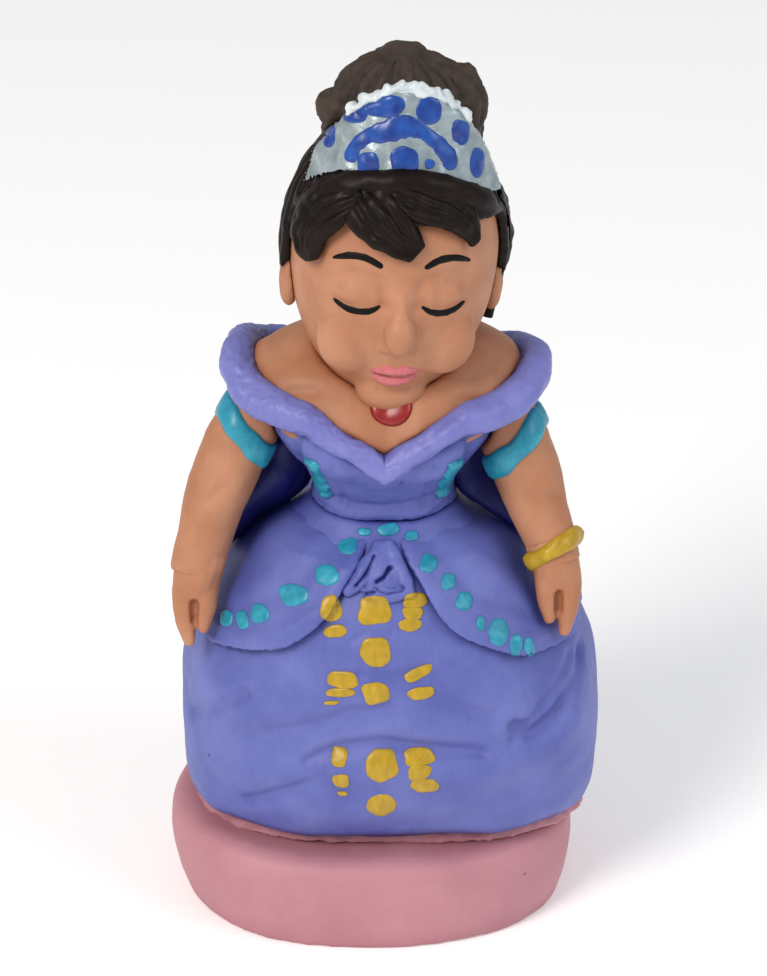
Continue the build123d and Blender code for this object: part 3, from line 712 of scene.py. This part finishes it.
# The narrow gap between each arm and the waist is closed by a thin web left from the mould. Its deep navy is
# painted shade for that gap, darker than the lilac gown paint.
navy = paint("navy_gap_shade", "#141a72", "#10155e", "#080b40", roughness=0.55, patch=3.0, recess_shade=0.5)
for name, side in (("left", -1), ("right", 1)):
    web = clay([], [rope([(side * 8.8, 0.9, 52.0), (side * 8.6, 0.9, 48.6), (side * 9.4, 0.4, 45.0),
                          (side * 13.2, -0.6, 41.8),
                          (side * 16.0, -1.4, 38.4)], [1.5, 2.7, 3.2, 2.3, 1.3], flat=0.55)], voxel=0.25,
                          smooth=6)
    wobble(web, 2.5, 0.35, 44 + side)
    put(f"shaded_mould_web_{name}", web, navy, "lilac_paint")

# ---- the head ------------------------------------------------------------------------------------
# One egg of the same stuff with a nose, closed lids, cheeks, lips and chin modelled on, in the plain
# proportions that drawing books teach: eyes half way down, nose and mouth at thirds. Ears are pressed on.
head_at = Matrix.Translation((0.9, -2.8, 69.1)) @ Matrix.Rotation(radians(-4), 4, "X") \
    @ Matrix.Rotation(radians(3), 4, "Y") @ Matrix.Rotation(radians(5), 4, "Z")
head_turn = head_at.to_3x3()


def on_face(x, y, z):
    """Point of the head's own frame in the figure's frame; the face looks along -Y."""
    return head_at @ Vector((x, y, z))


def face_lump(x, y, z, radii, turn=(0, 0, 0)):
    points, faces = lump((0, 0, 0), radii, turn)
    return [on_face(x, y, z) + head_turn @ p for p in points], faces


def face_front(tree, x, z):
    """Where a line straight into the face meets it, at x and z of the head's frame."""
    hit, _, _, _ = tree.ray_cast(on_face(x, -40, z), head_turn @ Vector((0, 1, 0)))
    return hit


def face_fronts(tree, *places):
    return [p for p in (face_front(tree, x, z) for x, z in places) if p is not None]


features = [
    face_lump(0, -8.7, -2.8, (0.95, 1.6, 3.4), (8, 0, 0)), face_lump(0, -9.1, -5.5, (1.05, 1.1, 0.85)),
    face_lump(-1.0, -8.5, -5.8, (0.7, 0.8, 0.6)), face_lump(1.0, -8.5, -5.8, (0.7, 0.8, 0.6)),
    face_lump(-4.3, -6.2, -5.6, (3.2, 1.9, 3.6)), face_lump(4.3, -6.2, -5.6, (3.2, 1.9, 3.6)),
    face_lump(-3.9, -7.6, -0.5, (2.1, 1.5, 1.5)), face_lump(3.9, -7.6, -0.5, (2.1, 1.5, 1.5)),
    face_lump(0, -4.4, -11.4, (3.4, 2.0, 2.4)), face_lump(0, -7.7, 2.6, (5.8, 1.7, 2.6)),
    face_lump(0, -6.9, -8.5, (2.2, 1.1, 0.6)), face_lump(0, -6.4, -9.6, (1.9, 1.1, 0.65)),
]
head = clay(["head"], features, voxel=0.22, smooth=14)
tree = mesh_tree(head)
carve(head, [(face_fronts(tree, (side * 1.9, 1.0), (side * 3.9, 1.5), (side * 6.0, 0.9)), 0.6,
              0.30) for side in (-1, 1)]
      + [(face_fronts(tree, (side * 1.9, -1.5), (side * 3.9, -2.3), (side * 6.0, -1.4)), 0.45,
          0.22) for side in (-1, 1)]
      + [(face_fronts(tree, (side * 1.7, 0.2), (side * 1.6, -1.4)), 0.6, 0.35) for side in (-1, 1)]
      + [(face_fronts(tree, (-1.9, -9.05), (0, -9.0), (1.9, -9.05)), 0.25, 0.32),
         (face_fronts(tree, (0, -6.9), (0, -7.8)), 0.35, 0.16),
         (face_fronts(tree, (-1.2, -10.7), (1.2, -10.7)), 0.5, 0.22)])
wobble(head, 5.0, 0.12, 31)
head_piece = put("head_modelled", head, skin, "skin_paint", "head")

# The brows and the closed lids are single strokes of a fine liner brush in near black; the lips are two
# soft strokes of matt pink.
# Matt black liner acrylic, with no highlight of its own.
liner = paint("black_liner", "#0c0b0b", "#070606", "#020202", roughness=0.5, patch=0.8, recess_shade=0.2,
              brush=0.02, shine=0.15)
lip_pink = paint("lip_pink", "#cf7478", "#c4696f", "#9c4850", roughness=0.5, patch=1.0, recess_shade=0.2, brush=0.02)
face_tree = tree_of(head_piece)
face_look = head_turn @ Vector((0, 1, 0))


def stroke_on_face(path, widths, seed, thick=0.10, ragged=0.10):
    return ribbon(face_tree, lambda a, b: on_face(a, -40, b), path, widths, thick, seed, ragged, face_look)


put("brows", laid([stroke_on_face([(side * 1.9, 2.4), (side * 3.4, 3.1), (side * 5.0, 3.1),
                                   (side * 6.4, 2.5)],
                                  [0.55, 0.75, 0.65, 0.25], 70 + side) for side in (-1, 1)]), liner,
                                  "black_line_paint")
lashes = []
for side in (-1, 1):
    lashes.append(stroke_on_face([(side * 1.9, -1.5), (side * 2.9, -2.1), (side * 4.0, -2.3),
                                  (side * 5.1, -2.1), (side * 6.1, -1.5)],
                                 [0.30, 0.60, 0.70, 0.60, 0.30], 72 + side))
put("lash_lines", laid(lashes), liner, "black_line_paint")
put("lips", laid([stroke_on_face([(-2.4, -8.75), (-0.9, -8.3), (0, -8.5), (0.9, -8.3), (2.4, -8.75)],
                                 [0.4, 0.9, 0.8, 0.9, 0.4], 76, 0.08),
                  stroke_on_face([(-2.0, -9.2), (-0.8, -9.6), (0.8, -9.6), (2.0, -9.2)],
                                 [0.5, 1.0, 1.0, 0.5], 77, 0.08)]), lip_pink, "pink_lip_paint")

for name, side in (("left", -1), ("right", 1)):
    ear = clay([f"ear_{name}"], voxel=0.13, smooth=3)
    middle = on_face(side * 10.7, 0.2, -2.2)
    carve(ear, [([middle + head_turn @ Vector((0, -0.4, 1.5)), middle + head_turn @ Vector((0, 0.5, 0.4)),
                  middle + head_turn @ Vector((0, 0.2, -1.0))], 0.45, 0.5)])
    put(f"ear_{name}_modelled", ear, skin, "skin_paint", f"ear_{name}")

# ---- the hair ------------------------------------------------------------------------------------
# The hair is a cap, four thick locks and a tall bun, pressed on and combed with a toothed tool, then
# brushed dark brown and varnished, so that it catches the light along the strands.
hair = paint("hair_acrylic", "#1c0f08", "#0e0603", "#030100", roughness=0.42, patch=2.5, recess_shade=0.5,
             brush=0.07, pits=0.8, shine=0.16)
# The bun had less varnish than the fringe, so it is matt and its pits show. Its paler grey-brown colour is
# painted light for the top of the hair, which faces the lamps, and strong painted shade darkens its combed
# grooves.
lit_bun_hair = paint("hair_acrylic_matt_lit", "#4a3e36", "#382d27", "#120b08", roughness=0.62, patch=2.0, recess_shade=0.85,
                 brush=0.10, pits=0.6, shine=0.25, grain=0.05)


def on_skull(azimuth, height, lift):
    """Point over the skull in the figure's frame; azimuth 0 is the face and 90 the right of the view."""
    half = 13.8
    r = (9.8 + lift) * max(0.05, 1 - (height / (half + lift)) ** 2) ** 0.5
    return on_face(r * sin(radians(azimuth)), -r * cos(radians(azimuth)), height)


hairline = rope([on_skull(a, h, 0.7) for a, h in ((-66, 7.0), (-40, 9.0), (-12, 9.8), (16, 9.6), (44, 8.2),
                                                  (70, 6.4))], [1.0, 1.5, 1.6, 1.6, 1.4, 1.0])
cap = clay(["hair_cap"], [hairline], voxel=0.25, smooth=5)
tree = mesh_tree(cap)
comb = []
for step in range(27):
    azimuth = radians(64 + step * 9)
    line = []
    for height in (10.5, 7.5, 4.0, 0.5, -3.0, -6.5, -9.0):
        start = on_face(30 * sin(azimuth), -30 * cos(azimuth), height)
        hit, _, _, _ = tree.ray_cast(start, (on_face(0, 0, height) - start).normalized())
        if hit is not None and (hit - on_face(0, 0, height)).length > 4:
            line.append(hit)
    if len(line) > 1:
        comb.append((line, 0.38, 0.32))
carve(cap, comb)
wobble(cap, 2.0, 0.22, 32)
put("hair_cap_combed", cap, hair, "hair_paint", "hair_cap")

locks = {"fringe_lock_left": [(-30, 9.4, 1.8), (-47, 7.4, 3.0), (-56, 4.2, 2.4), (-50, 1.9, 0.8)],
         "fringe_lock_centre": [(-28, 9.4, 1.6), (-15, 7.4, 3.0), (-4, 5.6, 2.2), (6, 4.0, 1.1)],
         "fringe_lock_right": [(-8, 9.8, 1.6), (12, 8.6, 2.4), (30, 7.2, 2.0), (40, 4.4, 0.7)],
         "side_lock_right": [(74, 8.0, 1.2), (96, 3.0, 1.5), (108, -2.0, 1.5), (104, -6.5, 0.8)]}
for index, (name, path) in enumerate(locks.items()):
    lock = clay([name], voxel=0.15, smooth=4)
    points = [on_skull(a, h, 2.2) for a, h, _ in path]
    for share in (-0.42, 0.05, 0.5):
        line = []
        for i, (_, _, width) in enumerate(path):
            along = (points[min(i + 1, 3)] - points[max(i - 1, 0)]).normalized()
            out = (points[i] - on_face(0, 0, 0)).normalized()
            line.append(points[i] + out.cross(along) * share * width * (0.9 if i else 1.2))
        carve(lock, [([line[0].lerp(line[1], t / 3) for t in range(3)] + line[1:], 0.42, 0.34 + 0.1 * share)])
    wobble(lock, 1.4, 0.20, 33 + index)
    put(f"{name}_combed", lock, hair, "hair_paint", name)

bun_at = Vector((1.8, 2.2, 79.9))
bun = clay(["bun"], [lump((6.6, 1.2, 83.0), (3.2, 3.4, 4.2)), lump((-3.9, 0.2, 82.9), (2.4, 2.2, 2.2))],
           voxel=0.2, smooth=5)
tree = mesh_tree(bun)
ridges = []
for step in range(20):
    azimuth = 2 * pi * step / 20
    line = []
    for tilt in (-10, 12, 34, 54, 72):
        out = Vector((sin(azimuth) * cos(radians(tilt)), -cos(azimuth) * cos(radians(tilt)),
                      sin(radians(tilt))))
        hit, _, _, _ = tree.ray_cast(bun_at + out * 30, -out)
        if hit is not None:
            line.append(hit)
    if len(line) > 1:
        ridges.append((line, 0.50, 0.55))
carve(bun, ridges)
wobble(bun, 1.8, 0.30, 40)
wobble(bun, 0.5, 0.10, 41)
put("bun_combed", bun, lit_bun_hair, "hair_paint", "bun")

# ---- the tiara -----------------------------------------------------------------------------------
# A thin strip bent round the front of the bun, brushed with pearly silver, with a row of small beads of
# the same paint along its top, and dabs of deep blue.
silver = paint("silver_acrylic", "#a9b6ba", "#86959a", "#55666c", roughness=0.34, patch=2.0, recess_shade=0.4,
               metallic=0.35, grain=0.05, coat=0.2)
blue = paint("blue_acrylic", "#1550a8", "#0a2f80", "#04144e", roughness=0.30, patch=1.5, recess_shade=0.4, coat=0.3)
tiara = clay(["tiara"], voxel=0.17, smooth=3)
wobble(tiara, 1.2, 0.20, 42)
tiara_tree = tree_of(put("tiara_band", tiara, silver, "silver_paint", "tiara"))
tiara_at = Matrix.Translation((1.5, -0.6, 78.6)) @ Matrix.Rotation(radians(4), 4,
    "Y") @ Matrix.Rotation(radians(4), 4, "Z")


def on_tiara(x, z):
    """Point on the middle of the leaning band, x across and z up from its foot."""
    return tiara_at @ Vector((x, -(((9.45 - 0.3 * z) ** 2 - x * x) ** 0.5), z))


drops = [(-2.5, 85.3, 2.3, 1.8), (0.1, 86.3, 3.6, 2.1), (4.1, 85.9, 2.4, 2.4), (7.0, 83.4, 1.7, 2.3),
         (8.6, 80.4, 1.4, 2.8),
         (-5.0, 82.6, 1.3, 2.2), (-1.4, 81.2, 2.1, 2.1), (1.9, 81.7, 2.6, 2.6), (4.2, 81.2, 0.9, 0.9)]
arch = [(-3.7, -2.3), (-3.2, -0.9), (-1.9, 0.0), (-0.2, 0.4), (1.4, 0.8), (3.0, 0.3), (4.4, -0.7),
        (5.3, -1.8), (5.6, -3.0)]
put("tiara_blue", laid([daub(tiara_tree, from_body(tiara_tree, x, z), (w, h), seed=80 + i, thick=0.12)
                        for i, (x, z, w, h) in enumerate(drops)]
                       + [ribbon(tiara_tree, from_body(tiara_tree, 0.6, 83.8), arch,
                                 [1.2, 1.4, 1.5, 2.2, 2.3, 1.4, 1.5, 1.8, 1.0], 0.12, 95)]),
    blue, "blue_paint")
crest = rope([on_tiara(9.2 * t, 9.0 * (1 - t * t) + 0.05) for t in (-0.62, -0.45, -0.25, 0, 0.25, 0.45,
    0.62)], [0.35, 0.5, 0.6, 0.65, 0.6, 0.5, 0.35])
# Pearl white craft acrylic, dabbed thickly along the crest.
pearl_white = paint("pearl_acrylic", "#dfe6e8", "#c3ced2", "#8d9ba1", roughness=0.30, patch=1.2, recess_shade=0.5,
                    coat=0.3, grain=0.05)
pearls = clay(["tiara_pearls"], [crest], voxel=0.12, smooth=4)
wobble(pearls, 0.8, 0.40, 43)
put("tiara_beads", pearls, pearl_white, "silver_paint", "tiara_pearls")

# ---- the hidden core -----------------------------------------------------------------------------
# A turned wooden dowel and two soft iron wires carry the pieces. They are sealed inside the figure.
# Turned beech, bare, and drawn iron wire, grey and half bright.
beech = paint("beech_dowel", "#c9a87c", "#b7925f", "#8a683c", roughness=0.7)
iron = paint("iron_wire", "#8a8a8c", "#707072", "#3c3c3e", roughness=0.4, metallic=0.9)
for name, material in (("core_dowel", beech), ("arm_wire_left", iron), ("arm_wire_right", iron)):
    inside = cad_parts[name].data
    inside.materials.clear()
    inside.materials.append(material)
